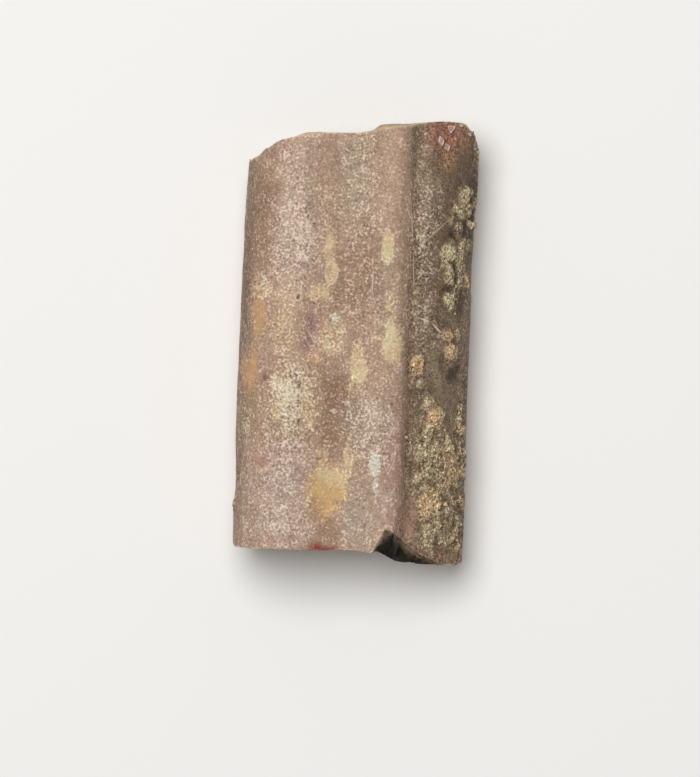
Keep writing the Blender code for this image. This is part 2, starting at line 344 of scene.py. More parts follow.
# Mineral stains on the front, from the tip down.
STAINS = patch_rows([
    (5.6, 14.1, 1.1, 1.1, 0.75, 0.8, Tint.RUST),
    (7.3, 14.0, 0.35, 0.5, 0.5, 0.6, Tint.BROWN),
    (5.8, 12.7, 0.4, 0.8, 0.3, 0.7, Tint.ORANGE),
    (-1.2, 13.9, 0.5, 0.3, 0.4, 0.8, Tint.RUST),
    (-1.95, 6.3, 0.38, 1.25, 0.8, 0.4, Tint.OCHRE),
    (-1.9, 4.5, 0.45, 0.8, 0.8, 0.35, Tint.OCHRE),
    (-2.5, 3.1, 0.85, 0.5, 0.7, 0.4, Tint.OCHRE),
    (1.84, 6.6, 0.36, 1.1, 0.9, 0.3, Tint.OCHRE, 0.5),
    (1.83, 5.7, 0.34, 0.55, 0.95, 0.3, Tint.CREAM, 0.5),
    (-6.46, 3.2, 0.6, 0.8, 0.65, 0.4, Tint.SAND),
    (-6.6, 1.3, 0.42, 1.7, 0.8, 0.5, Tint.ORANGE),
    (-4.9, 1.2, 0.7, 2.2, 0.45, 0.8, Tint.OCHRE),
    (-7.15, -2.6, 0.6, 1.4, 0.8, 0.5, Tint.ORANGE),
    (-3.8, 5.05, 0.35, 0.35, 0.45, 0.6, Tint.PURPLE),
    (-3.1, 0.55, 0.4, 1.35, 0.6, 0.45, Tint.PURPLE),
    (-1.6, 0.1, 0.85, 1.15, 0.38, 0.5, Tint.OCHRE),
    (-1.8, -0.6, 0.35, 0.6, 0.7, 0.35, Tint.CREAM),
    (-1.46, 1.33, 0.28, 0.27, 1.0, 0.25, Tint.WHITE, 0.3),
    (2.3, 2.5, 0.3, 0.9, 0.35, 0.6, Tint.OCHRE),
    (2.35, -0.1, 0.6, 1.35, 0.8, 0.35, Tint.OCHRE),
    (2.15, 0.4, 0.32, 0.9, 0.9, 0.35, Tint.CREAM),
    (0.25, -1.9, 0.6, 1.5, 0.75, 0.45, Tint.OCHRE),
    (0.2, -2.4, 0.45, 0.7, 0.8, 0.35, Tint.CREAM),
    (-2.8, -1.65, 0.45, 0.7, 0.4, 0.6, Tint.ORANGE),
    (-4.2, -4.0, 1.45, 1.8, 0.4, 0.9, Tint.CREAM),
    (-4.9, -3.3, 0.7, 0.7, 0.55, 0.4, Tint.CREAM),
    (-4.35, -4.5, 0.6, 1.0, 0.7, 0.4, Tint.CREAM),
    (-5.0, -5.4, 0.35, 0.45, 0.6, 0.5, Tint.OCHRE),
    (-3.5, -3.2, 0.5, 0.6, 0.4, 0.5, Tint.FROST_PINK),
    (-3.0, -4.9, 0.4, 1.5, 0.45, 0.6, Tint.OCHRE),
    (-6.04, -2.92, 0.3, 0.35, 0.45, 0.6, Tint.PURPLE),
    (-6.2, -8.8, 0.5, 0.8, 0.35, 0.8, Tint.RUST),
    (-3.35, -9.3, 0.45, 0.6, 0.35, 0.8, Tint.PURPLE),
    (-1.9, -7.9, 0.35, 0.55, 0.7, 0.35, Tint.OCHRE),
    (-0.2, -8.6, 0.35, 1.25, 0.8, 0.35, Tint.OCHRE),
    (-1.5, -10.3, 1.3, 1.6, 0.85, 0.35, Tint.YELLOW),
    (-1.4, -9.5, 0.95, 0.65, 0.7, 0.4, Tint.OCHRE),
    (-1.85, -9.3, 0.5, 0.35, 0.5, 0.5, Tint.CREAM),
    (-0.4, -9.6, 0.32, 0.8, 0.55, 0.5, Tint.CREAM),
    (-1.7, -11.9, 0.8, 0.8, 0.4, 0.8, Tint.ORANGE),
    (-3.66, 9.75, 0.4, 0.16, 0.5, 0.6, Tint.CHALK),
    (-4.33, -4.05, 0.28, 0.38, 0.65, 0.5, Tint.WHITE),
    (-4.28, -5.2, 0.22, 0.25, 0.65, 0.5, Tint.CHALK),
    (-1.61, -3.08, 0.16, 0.12, 0.85, 0.4, Tint.WHITE),
    (-0.41, -4.27, 0.12, 0.24, 0.85, 0.4, Tint.WHITE),
    (-1.29, -5.0, 0.2, 0.12, 0.8, 0.4, Tint.WHITE),
    (-7.54, -10.0, 0.09, 0.4, 0.75, 0.5, Tint.CHALK),
    (-7.85, -11.4, 0.14, 0.6, 0.6, 0.5, Tint.WARM_TAN),
    (1.56, -8.4, 0.38, 0.8, 0.85, 0.2, Tint.CHALK, 0.35),
    (1.75, -9.9, 0.18, 0.9, 0.6, 0.6, Tint.CHALK, 0.5),
    (-5.3, -13.65, 0.6, 0.55, 0.3, 0.8, Tint.RUST),
    (-1.65, -14.3, 1.05, 0.45, 0.95, 0.5, Tint.BLOOD),
    (5.3, -14.3, 1.6, 0.45, 0.45, 0.8, Tint.RUST),
])

# Stains so smooth that no flecks show on them.
SMOOTH_TINTS = {Tint.OCHRE, Tint.YELLOW, Tint.ORANGE, Tint.CHALK}

# Where rock matrix still clings to the front, and how thickly. The first are lumps.
CRUST = patch_rows([
    (7.09, 10.3, 0.38, 0.42, 1.0, 0.25, Tint.CREAM),
    (6.54, 9.35, 0.2, 0.22, 1.0, 0.25, Tint.CREAM),
    (7.06, 9.2, 0.4, 0.7, 0.8, 0.3),
    (7.59, 8.25, 0.3, 0.3, 1.0, 0.25, Tint.CREAM),
    (6.71, 7.83, 0.2, 0.5, 1.0, 0.25),
    (7.3, 6.65, 0.42, 0.55, 0.9, 0.25),
    (6.05, 6.15, 0.48, 0.62, 0.9, 0.25, Tint.CREAM),
    (6.18, 4.77, 0.36, 0.68, 0.9, 0.25),
    (7.05, 4.67, 0.38, 0.85, 0.9, 0.25),
    (6.33, 2.75, 0.33, 0.75, 1.0, 0.25, Tint.CREAM),
    (6.18, 0.5, 0.34, 0.42, 1.0, 0.25, Tint.WARM_TAN),
    (6.85, 0.6, 0.22, 0.5, 0.8, 0.3),
    (6.61, -0.62, 0.48, 0.62, 1.0, 0.25, Tint.WARM_TAN),
    (4.22, -1.66, 0.6, 0.8, 1.0, 0.25, Tint.WARM_TAN),
    (5.72, -5.05, 0.62, 0.72, 1.0, 0.25, Tint.WARM_TAN),
    (5.22, -6.18, 0.28, 0.6, 1.0, 0.25, Tint.CREAM),
    (7.3, -4.85, 0.16, 1.0, 0.9, 0.3, Tint.CREAM),
    (7.49, -5.95, 0.28, 0.3, 1.0, 0.25, Tint.WARM_TAN),
    (5.35, -10.94, 0.72, 0.85, 1.0, 0.3, Tint.WARM_TAN),
    (7.75, -10.97, 0.22, 0.5, 1.0, 0.3, Tint.WARM_TAN),
    (5.5, -13.2, 0.5, 0.75, 0.7, 0.3, Tint.CREAM),
], ragged=0.6)
CRUST += patch_rows([
    (6.95, -8.8, 0.6, 1.6, 0.6, 0.5, Tint.WARM_TAN),
    (5.9, -8.2, 2.2, 2.6, 0.8, 0.5),
    (4.7, -4.0, 1.0, 1.6, 0.55, 0.5),
    (6.4, -12.6, 1.6, 2.4, 0.62, 0.5),
    (6.8, 8.8, 0.9, 3.0, 0.45, 0.5),
    (6.6, 4.4, 1.0, 2.4, 0.45, 0.5),
])

# Hollows between the lumps of matrix, painted dark: painted shade, with dark dirt in them.
HOLLOWS = patch_rows([
    (7.13, 7.64, 0.24, 0.55, 0.8, 0.4), (6.24, 7.33, 0.42, 0.6, 0.55, 0.5),
    (6.62, 5.0, 0.16, 0.75, 0.75, 0.5), (6.14, 3.95, 0.32, 0.32, 0.75, 0.5),
    (6.95, 2.6, 0.35, 1.0, 0.6, 0.6), (6.84, -2.1, 0.4, 0.6, 0.75, 0.5),
    (6.0, -1.3, 0.25, 0.5, 0.6, 0.5), (7.8, -3.6, 0.18, 2.0, 0.4, 0.6),
], tint=Tint.DARK)

# Where no flecks lie.
CALM = patch_rows([
    (5.9, 13.2, 1.5, 2.2, 1.0, 0.4), (6.7, 11.2, 1.2, 2.4, 0.8, 0.5),
    (6.7, 6.0, 1.1, 6.0, 0.8, 0.5), (6.2, -2.5, 1.2, 2.0, 0.85, 0.5),
    (4.4, -12.1, 0.6, 1.6, 0.9, 0.5), (2.0, 12.0, 1.3, 1.6, 0.5, 0.6),
    (-2.3, 11.2, 0.9, 2.4, 0.5, 0.6),
])

# Where the front is frosted with white flecks.
FROST = patch_rows([
    (-4.3, 6.0, 1.4, 3.0, 0.8), (-4.6, 9.6, 0.6, 1.8, 0.5), (-6.46, 3.2, 0.7, 0.9, 0.9),
    (-3.1, 0.4, 0.5, 1.3, 0.4), (-2.4, 8.7, 0.8, 2.2, 0.4), (-5.3, 12.6, 0.4, 1.3, 0.6),
    (-0.2, 11.0, 1.2, 3.2, 0.4), (0.2, 7.2, 1.0, 1.4, 0.4), (0.6, 3.0, 1.6, 2.0, 0.3),
    (-4.0, -4.2, 1.5, 2.0, 0.9), (-4.6, -6.8, 1.6, 1.0, 0.6), (0.9, -5.6, 1.7, 1.8, 0.7),
    (1.2, -7.4, 1.2, 1.4, 0.6), (-4.6, -9.8, 1.8, 2.0, 0.5), (-4.4, -13.0, 1.8, 1.2, 0.5),
    (-7.4, -6.0, 0.5, 1.2, 0.5), (4.3, 7.3, 1.0, 2.0, 0.5), (4.2, 3.0, 1.0, 2.6, 0.35),
    (4.6, 11.0, 0.9, 1.6, 0.2),
], softness=0.5)


@dataclass(frozen=True)
class Pit:
    """A small round hole in the front, with or without a raised ring round it."""

    x: float
    y: float
    radius: float
    depth: float
    ring: float = 0.0
    ring_width: float = 0.07
    stretch: float = 1.0

    def reach(self, points: np.ndarray) -> np.ndarray:
        """The distance of each point from the pit's centre."""
        return np.hypot(points[:, 0] - self.x, points[:, 1] - self.y)

    def hole(self, points: np.ndarray) -> np.ndarray:
        """How far each point lies into the hole, from 0 to 1."""
        return 1 - smooth_step(0.45, 1.0, self.reach(points) / self.radius)

    def lip(self, points: np.ndarray) -> np.ndarray:
        """How far each point lies on the ring, from 0 to 1."""
        off = (self.reach(points) - self.radius) / self.ring_width
        return np.exp(-(off**2)) * (self.ring > 0)


PITS = [
    Pit(-3.57, -5.78, 0.20, 0.22),
    Pit(-4.02, 2.72, 0.19, 0.10, ring=0.04, stretch=1.5),
    Pit(-1.68, -9.64, 0.15, 0.10),
    Pit(-1.85, 4.45, 0.42, 0.03, ring=0.03, ring_width=0.07, stretch=1.8),
    Pit(-6.05, -2.9, 0.18, 0.10),
    Pit(1.15, -12.6, 0.12, 0.08),
    Pit(0.51, -4.3, 0.13, 0.05, ring=0.03),
    Pit(-1.25, -5.0, 0.14, 0.05, ring=0.03),
]


@dataclass(frozen=True)
class Scratch:
    """A thin light line on the front, from one place to another."""

    x: float
    y: float
    end_x: float
    end_y: float
    width: float = 0.09
    strength: float = 0.6


SCRATCHES = [Scratch(*row) for row in [
    (1.01, 5.32, 0.99, 2.42, 0.07, 0.7), (3.38, 9.77, 3.68, 6.2, 0.07, 0.7),
    (3.68, 6.6, 3.88, 2.88, 0.06, 0.5), (4.2, 1.65, 5.18, 1.35, 0.09, 0.9),
    (5.08, 1.4, 5.97, 0.55, 0.09, 0.9), (3.81, 6.19, 6.46, 8.86, 0.08, 0.45),
    (3.12, -5.44, 2.22, -7.2, 0.06, 0.6), (3.15, -7.85, 2.45, -9.33, 0.06, 0.6),
    (3.36, -9.57, 2.65, -10.84, 0.06, 0.6), (3.1, -6.82, 2.85, -8.9, 0.05, 0.5),
    (-3.5, 0.85, -2.61, -0.7, 0.08, 0.6), (-3.6, 0.2, -2.95, -0.95, 0.06, 0.45),
    (-5.15, 13.3, -5.0, 12.75, 0.07, 0.6), (-5.1, 12.6, -5.45, 11.75, 0.08, 0.7),
    (-5.42, 11.8, -5.55, 11.35, 0.08, 0.6), (-3.55, 11.3, -3.3, 10.85, 0.07, 0.5),
]]

# The front rim of the broken tip and the outline behind it, which share their ends.
TIP_LEFT = [
    (-7.9, 11.9), (-7.84, 12.06), (-7.5, 12.16), (-7.1, 12.35), (-6.71, 12.85), (-6.17, 13.15),
    (-5.63, 13.39),
]
TIP_RIGHT = [
    (5.72, 15.18), (6.68, 15.17), (7.0, 15.1), (7.39, 14.69), (7.54, 14.38), (7.75, 13.6),
    (7.87, 13.1),
]
TIP_RIM = TIP_LEFT + [
    (-4.68, 13.6), (-3.86, 13.78), (-3.04, 13.85), (-1.39, 13.98), (0.39, 14.18), (1.06, 14.32),
    (1.74, 14.4), (2.43, 14.57), (3.12, 14.73), (3.8, 14.91), (4.5, 15.02),
] + TIP_RIGHT
TIP_OUTLINE = TIP_LEFT + [
    (-4.68, 13.63), (-4.27, 13.84), (-3.86, 13.98), (-3.04, 14.04), (-2.49, 14.0), (-0.29, 14.09),
    (0.39, 14.23), (0.66, 14.36), (1.06, 14.7), (1.33, 14.77), (2.43, 14.85), (3.8, 14.98),
] + TIP_RIGHT

# The same for the foot.
FOOT_LEFT = [(-7.9, -14.27), (-7.84, -14.46), (-7.7, -14.58), (-5.97, -14.6), (-1.85, -14.53)]
FOOT_RIGHT = [(7.67, -15.24), (7.87, -15.14), (8.0, -15.0)]
FOOT_RIM = FOOT_LEFT + [
    (0.18, -14.42), (1.04, -14.46), (1.75, -14.55), (1.82, -14.3), (2.0, -13.98), (2.22, -13.52),
    (2.4, -13.16), (2.6, -13.02), (2.8, -13.08), (3.14, -13.26), (3.9, -13.92), (4.88, -14.6),
    (5.51, -14.89), (6.32, -15.22),
] + FOOT_RIGHT
FOOT_OUTLINE = FOOT_LEFT + [
    (0.18, -14.43), (1.04, -14.47), (1.46, -14.58), (2.07, -14.46), (2.35, -14.57), (2.98, -14.93),
    (3.33, -15.1), (4.02, -15.22), (5.75, -15.29), (6.43, -15.27),
] + FOOT_RIGHT


@dataclass
class Skin:
    """The fine surface as numbers: places in millimetres and directions, one point a row."""

    points: np.ndarray
    normals: np.ndarray
    rim_distance: np.ndarray
    inset: np.ndarray

    def __post_init__(self) -> None:
        """Works out what the patches and the relief read at every point."""
        place = self.points
        self.front = smooth_step(0.02, 0.30, self.normals[:, 2])
        self.ragged = (
            0.28 * grain(place, (0.9, 1.2, 0.9))
            + 0.24 * grain(place, (0.38, 0.5, 0.38), 5.0)
            + 0.16 * grain(place, 0.2, 5.5)
        )
        self.bend = np.column_stack(
            [
                0.26 * grain(place, (1.2, 1.5, 1.2), 50.0) + 0.16 * grain(place, 0.42, 51.0),
                0.34 * grain(place, (1.2, 1.5, 1.2), 52.0) + 0.20 * grain(place, 0.42, 53.0),
            ]
        )
        at_end = smooth_step(11.4, 12.2, np.abs(place[:, 1]))
        self.broken = smooth_step(0.50, 0.66, np.abs(self.normals[:, 1])) * at_end
        self.notch = np.zeros(len(place))
        hidden = (1 - self.front) * (1 - self.broken)
        thick = smooth_step(0.1, 0.5, grain(place, (2.2, 3.5, 2.2), 40.0)) * 0.75 * hidden
        density = 1 - (1 - self.mean_share(CRUST)) * (1 - thick)
        lace = (
            0.7 * grain(place, (1.0, 1.3, 1.0), 30.0)
            + 0.6 * grain(place, (0.48, 0.6, 0.48), 31.0)
            + 0.3 * grain(place, 0.24, 32.0)
        )
        self.crust = smooth_step(0.32, 0.44, 0.66 * density + 0.42 * lace)
        self.lumps = grain(place, (0.5, 0.62, 0.5), 6.0) + 0.7 * grain(place, 0.27, 7.0)
        self.gaps = smooth_step(0.10, 0.60, density) * (1 - self.crust)

    def mark_notch(self, moved: np.ndarray) -> None:
        """Marks what lies beyond the foot's front rim, in its notch, as broken.

        Args:
            moved: The places of the points on the finished surface.
        """
        x, y, z = moved.T
        beside = smooth_step(1.7, 2.1, x) * (1 - smooth_step(6.0, 6.8, x))
        beyond = smooth_step(-0.20, -0.06, np.interp(x, *zip(*FOOT_RIM)) - y)
        near = 1 - smooth_step(0.6, 1.9, self.rim_distance + 1.2 * self.ragged)
        self.notch = beside * near * smooth_step(4.0, 6.0, z) * beyond
        self.broken = np.maximum(self.broken, self.notch)

    def mean_share(self, patches: Sequence[Patch]) -> np.ndarray:
        """Lays patches over each other.

        Args:
            patches: The patches.

        Returns:
            For each point, how much of it they cover together.
        """
        bare = np.ones(len(self.points))
        for patch in patches:
            bare *= 1 - patch.share(self)
        return 1 - bare


@dataclass
class SpineSurface:
    """The spine section's own surface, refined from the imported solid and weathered."""

    name: str = "spine_section_surface"
    weld: float = 0.001
    crease_angle: float = math.radians(38)
    crease: float = 0.75
    rim_inset: float = 0.7
    ring_start: float = 9.0
    ring_end: float = 11.6
    levels: int = 2
    rows: Triple = (-14.0, 11.5, 18)
    row_reach: float = 0.9
    rim_step: float = 0.08
    rim_reach: float = 3.0
    break_reach: float = 2.2
    end_start: float = 9.0
    half_width: float = 7.9
    bins: int = 80
    bin_reach: float = 0.14
    strip_depth: float = 1.2
    rim_line: float = 0.18
    step_x: float = 2.9
    step_width: float = 1.1
    step_shift: float = 0.28
    fibre_depth: float = 0.022
    dimple_depth: float = 0.035
    crust_height: float = 0.24
    pore_depth: float = 0.16
    hackle_height: float = 0.18
    nick_depth: float = 0.05
    outline_slack: float = 0.04

    def build(self) -> tuple[bpy.types.Object, Skin]:
        """Makes the dressed piece.

        Returns:
            The object, in the scene, and its surface as numbers.
        """
        cage, rims = self.cage()
        mesh = self.refine(cage)
        self.fit_sides(mesh)
        skin = self.read_skin(mesh, rims)
        self.weather(mesh, skin)
        self.paint(mesh, skin)
        return add_object(self.name, mesh), skin

    def inset(self, points: np.ndarray) -> np.ndarray:
        """Reads how deep points lie inside the section's outline, seen along the spine.

        Args:
            points: The places in millimetres, one a row.

        Returns:
            The distance of each to the outline at its own end.
        """
        packed = self.places(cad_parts[NODE].data)
        depth = np.empty(len(points))
        for end in (-1, 1):
            reach = packed[:, 1] * end
            ring = packed[(reach > self.ring_start) & (reach < self.ring_end)]
            mine = points[:, 1] * end >= 0
            depth[mine] = distances(points[mine] * (1, 0, 1), ring * (1, 0, 1))
        return depth

    def cage(self) -> tuple[bpy.types.Mesh, np.ndarray]:
        """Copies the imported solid, welds it and marks its rims.

        Returns:
            The welded mesh, and places along its rims in millimetres.
        """
        bm = bmesh.new()
        bm.from_mesh(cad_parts[NODE].data)
        bmesh.ops.remove_doubles(bm, verts=bm.verts, dist=self.weld * MM)
        crease = bm.edges.layers.float.new("crease_edge")
        rims = []
        for edge in bm.edges:
            if edge.calc_face_angle(0.0) > self.crease_angle:
                edge[crease] = self.crease
                start, end = (vert.co for vert in edge.verts)
                count = max(1, round((end - start).length / (self.rim_step * MM)))
                rims += [start.lerp(end, i / count) / MM for i in range(count + 1)]
        bmesh.ops.join_triangles(
            bm,
            faces=bm.faces,
            angle_face_threshold=math.pi,
            angle_shape_threshold=math.pi,
        )
        rims = np.array(rims)
        return to_mesh(self.name + "_cage", bm), rims[self.inset(rims) < self.rim_inset]

    def refine(self, cage: bpy.types.Mesh) -> bpy.types.Mesh:
        """Subdivides the cage into the fine mesh.

        Args:
            cage: The welded mesh with its rims marked.

        Returns:
            The fine mesh.
        """
        carrier = add_object(self.name + "_cage", cage)
        rounder = carrier.modifiers.new("refine", "SUBSURF")
        rounder.levels = rounder.render_levels = self.levels
        graph = bpy.context.evaluated_depsgraph_get()
        mesh = bpy.data.meshes.new_from_object(carrier.evaluated_get(graph))
        mesh.name = self.name
        bpy.data.objects.remove(carrier)
        bpy.data.meshes.remove(cage)
        return mesh

    def fit_sides(self, mesh: bpy.types.Mesh) -> None:
        """Gives the fine mesh back the width that the refining took, row by row.

        Args:
            mesh: The fine mesh.
        """
        packed = self.places(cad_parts[NODE].data)
        fine = self.places(mesh)
        rows = np.linspace(*self.rows)
        shifts = []
        for row in rows:
            wanted = packed[np.abs(packed[:, 1] - row) < self.row_reach, 0]
            found = fine[np.abs(fine[:, 1] - row) < self.row_reach, 0]
            shifts.append((wanted.min() - found.min(), wanted.max() - found.max()))
        left, right = (np.interp(fine[:, 1], rows, side) for side in zip(*shifts))
        share = (fine[:, 0] - fine[:, 0].min()) / np.ptp(fine[:, 0])
        fine[:, 0] += left * (1 - share) + right * share
        mesh.vertices.foreach_set("co", (fine * MM).ravel())
        mesh.update()

    @staticmethod
    def places(mesh: bpy.types.Mesh) -> np.ndarray:
        """Reads a mesh's vertices.

        Args:
            mesh: The mesh.

        Returns:
            Their places in millimetres, one a row.
        """
        flat = np.empty(len(mesh.vertices) * 3)
        mesh.vertices.foreach_get("co", flat)
        return flat.reshape(-1, 3) / MM

    def read_skin(self, mesh: bpy.types.Mesh, rims: np.ndarray) -> Skin:
        """Reads the fine mesh as numbers.

        Args:
            mesh: The fine mesh.
            rims: Places along the rims in millimetres.

        Returns:
            Its points, directions and distances to the nearest rim.
        """
        normals = np.empty(len(mesh.vertices) * 3)
        mesh.vertex_normals.foreach_get("vector", normals)
        points = self.places(mesh)
        return Skin(points, normals.reshape(-1, 3), distances(points, rims), self.inset(points))

    def relief(self, skin: Skin) -> np.ndarray:
        """Works out how far each point stands out of the smooth form.

        Args:
            skin: The surface.

        Returns:
            The rise of each point along its normal.
        """
        place = skin.points
        bone = 1 - skin.broken
        fibres = grain(place, (0.42, 6.0, 0.42), 1.0) + 0.6 * grain(place, (0.24, 2.6, 0.24), 2.0)
        dimples = grain(place, (1.3, 1.8, 1.3), 3.0) + 0.5 * grain(place, (0.45, 0.6, 0.45), 4.0)
        hackle = grain(place, 0.9, 8.0) + 0.6 * grain(place, 0.4, 9.0)
        pores = smooth_step(0.15, 0.45, grain(place, 0.42, 10.0))
        nicks = smooth_step(0.0, 0.5, grain(place, 0.55, 11.0))
        near_rim = 1 - smooth_step(0.0, 0.45, skin.rim_distance)
        inside = skin.broken * smooth_step(0.3, 1.0, skin.inset)
        rise = (
            bone * (self.fibre_depth * fibres + self.dimple_depth * dimples)
            + bone * self.crust_height * skin.crust * (0.65 + 0.7 * skin.lumps)
            + inside * (self.hackle_height * hackle - self.pore_depth * pores)
            - self.nick_depth * near_rim * nicks
        )
        for pit in PITS:
            rise -= skin.front * pit.depth * pit.hole(place)
            rise += skin.front * pit.ring * pit.lip(place)
        return rise

    def fit_end(
        self, skin: Skin, moved: np.ndarray, end: int, rim: Line, outline: Line
    ) -> None:
        """Draws one broken end's front rim to its line, and keeps the break behind its outline.

        Args:
            skin: The surface.
            moved: The places of its points, which are changed.
            end: 1 for the tip and -1 for the foot.
            rim: The line of the front rim as X and Y.
            outline: The outline that the break behind the rim reaches.
        """
        x, reach, z = skin.points[:, 0], skin.points[:, 1] * end, skin.points[:, 2]
        bins = np.linspace(-self.half_width, self.half_width, self.bins)
        upper = (z > 5.4) & (skin.broken < 0.5) & (reach > 11)
        nearby = (upper & (np.abs(x - middle) < self.bin_reach) for middle in bins)
        found = [reach[mine].max(initial=0.0) for mine in nearby]
        now = np.interp(x, *zip(*[pair for pair in zip(bins, found) if pair[1] > 0]))
        wanted = np.interp(x, [p[0] for p in rim], [p[1] * end for p in rim])
        limit = np.interp(x, [p[0] for p in outline], [p[1] * end for p in outline])
        upper_side = smooth_step(3.0, 6.0, z)
        skin_share = (1 - smooth_step(0.0, self.rim_reach, now - reach)) * upper_side
        break_share = (1 - smooth_step(0.0, self.break_reach, skin.rim_distance)) * upper_side
        at_end = reach > self.end_start
        share = np.where(skin.broken > 0.5, break_share, skin_share) * at_end
        target = moved[:, 1] * end + (wanted - now) * share
        depth = np.minimum(skin.rim_distance / self.strip_depth, 1.0)
        face = (skin.broken > 0.5) & at_end
        strip = wanted + (limit - wanted) * smooth_step(0.0, 0.3, depth)
        visible = smooth_step(5.5, 7.0, z) * (limit > wanted + 0.02)
        raised = target + (np.maximum(target, strip - 0.1 * depth) - target) * visible
        target = np.where(face, np.minimum(raised, limit - 0.06 * depth), target)
        kept = np.minimum(target, limit + self.outline_slack)
        moved[:, 1] = np.where(at_end, kept, target) * end

    def weather(self, mesh: bpy.types.Mesh, skin: Skin) -> None:
        """Moves the fine mesh to its relief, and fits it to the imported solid's box.

        Args:
            mesh: The fine mesh.
            skin: The same surface as numbers.
        """
        moved = skin.points + skin.normals * self.relief(skin)[:, None]
        near_step = np.exp(-(((skin.points[:, 0] - self.step_x) / self.step_width) ** 2))
        off_notch = smooth_step(-13.2, -11.0, skin.points[:, 1])
        moved[:, 0] += self.step_shift * near_step * skin.front * off_notch
        self.fit_end(skin, moved, 1, TIP_RIM, TIP_OUTLINE)
        self.fit_end(skin, moved, -1, FOOT_RIM, FOOT_OUTLINE)
        skin.mark_notch(moved)
        resting = skin.points[:, 2] < 0.05
        moved[resting, 2] = skin.points[resting, 2]
        low, high = (np.array(corner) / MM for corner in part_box(NODE))
        moved = np.clip(moved, low, high)
        mesh.vertices.foreach_set("co", (moved * MM).ravel())
        mesh.update()
        mesh.shade_smooth()

    def paint(self, mesh: bpy.types.Mesh, skin: Skin) -> None:
        """Stores the colours and masks that the bone's material reads.

        The attribute "tone" holds the colour, painted shade and highlights included, with the
        density of flecks in its alpha.
        "stain" holds the colour of the mineral stains, with how far they cover the bone.
        "form" holds the crust, the broken ends and their pale skin in its red, green and
        blue, and how strong the grain is in its alpha.

        Args:
            mesh: The fine mesh.
            skin: The same surface as numbers.
        """
        place = skin.points
        tone = np.tile(Tint.TAUPE.colour(), (len(place), 1))
        drift = grain(place, (1.4, 6.0, 1.4), 20.0)
        step = np.interp(place[:, 1], [-15.0, 15.0], [3.60, 2.95]) + 0.3 * skin.ragged
        flank = smooth_step(-0.12, 0.25, place[:, 0] - step) * skin.front
        hidden = 1 - skin.front
        crumb_tone = grain(place, (0.5, 0.6, 0.5), 24.0)
        # Painted highlight: a thin light line where the broken edge catches the light, partly the
        # pale outer bone.
        edge = 1 - smooth_step(0.03, self.rim_line, skin.rim_distance)
        tip = np.interp(place[:, 0], *zip(*TIP_RIM))
        foot = np.interp(place[:, 0], *zip(*FOOT_RIM))
        off_rim = np.abs(place[:, 1] - np.where(place[:, 1] > 0, tip, foot))
        edge *= smooth_step(4.5, 6.0, place[:, 2]) * (1 - smooth_step(0.3, 0.6, off_rim))
        in_notch = np.exp(-(((place[:, 0] - 2.9) / 1.1) ** 2)) * (place[:, 1] < 0)
        strip = 1 - skin.inset / self.strip_depth + 0.3 * grain(place, 0.5, 25.0)
        cortex = smooth_step(0.1, 0.5, strip) * (1 - skin.notch)
        specks = grain(place, (0.55, 0.7, 0.55), 33.0) + 0.6 * grain(place, 0.3, 34.0)
        veins = np.abs(grain(place, 1.6, 61.0) + 0.3 * grain(place, 0.5, 63.0))
        frosting = skin.mean_share(FROST)
        layers = [
            (smooth_step(0.0, 0.6, drift) * 0.5, Tint.PINK_TAUPE),
            (smooth_step(0.0, 0.6, -drift) * 0.5, Tint.GREY_TAUPE),
            (hidden * smooth_step(-0.2, 0.5, grain(place, (1.8, 5.0, 1.8), 21.0)) * 0.7, Tint.OLIVE),
            (hidden * smooth_step(0.1, 0.6, grain(place, (1.4, 3.0, 1.4), 22.0)) * 0.6, Tint.BROWN),
            (hidden * smooth_step(0.25, 0.6, grain(place, (1.2, 2.2, 1.2), 23.0)) * 0.7, Tint.OCHRE),
            (flank * 0.95, Tint.FLANK),
            *((patch.share(skin), patch.tint) for patch in GROUND),
            (frosting * smooth_step(0.1, 0.7, specks) * 0.45, Tint.CREAM),
            (frosting * smooth_step(0.1, 0.7, -specks) * 0.45, Tint.PINK),
        ]
        covers = [
            # Painted shade and dark dirt in the gaps of the crust.
            (skin.gaps * 0.4, Tint.DARK),
            (skin.crust * 0.9, Tint.TAN),
            (skin.crust * smooth_step(0.05, 0.5, crumb_tone) * 0.4, Tint.OLIVE),
            # Darker in the lumps' lows: dirt and painted shade.
            (skin.crust * smooth_step(0.1, 0.5, -skin.lumps) * 0.4, Tint.DARK),
            *((patch.share(skin) * skin.crust * 0.8, patch.tint) for patch in CRUST if patch.tint),
            # Lighter on the lumps' tops: a painted highlight over their cream colour.
            (skin.crust * smooth_step(0.05, 0.45, skin.lumps) * 0.45, Tint.CREAM),
            # Painted shade and dirt in the hollows between the lumps.
            *((patch.share(skin), patch.tint) for patch in HOLLOWS),
            # Painted shade in the deeper pits.
            *((skin.front * pit.hole(place) * 0.8, Tint.DARK) for pit in PITS if pit.depth > 0.05),
            (skin.broken, Tint.MARROW),
            (skin.broken * smooth_step(0.0, 0.5, grain(place, 1.5, 60.0)) * 0.8, Tint.UMBER),
            (skin.broken * (1 - smooth_step(0.03, 0.12, veins)) * 0.40, Tint.SAND),
            (skin.broken * smooth_step(0.2, 0.7, grain(place, 2.2, 62.0)) * 0.3, Tint.RUST),
            (skin.broken * cortex * 0.85, Tint.CORTEX),
            (skin.broken * cortex * smooth_step(0.0, 0.6, crumb_tone) * 0.5, Tint.BROWN),
            # Painted shade and dirt over the notch's break, and a painted shadow over dark infill in
            # the hole at its apex.
            (skin.broken * skin.notch, Tint.DARK),
            (skin.notch * in_notch * smooth_step(-14.9, -13.9, place[:, 1]), Tint.HOLE_SHADOW_AND_INFILL),
            # Painted highlight along the front rims, partly pale outer bone, weaker at the notch.
            (edge * (0.8 - 0.6 * np.maximum(skin.notch, in_notch)), Tint.RIM_CORTEX_AND_HIGHLIGHT),
        ]
        stain, stained = np.zeros_like(tone), np.zeros(len(place))
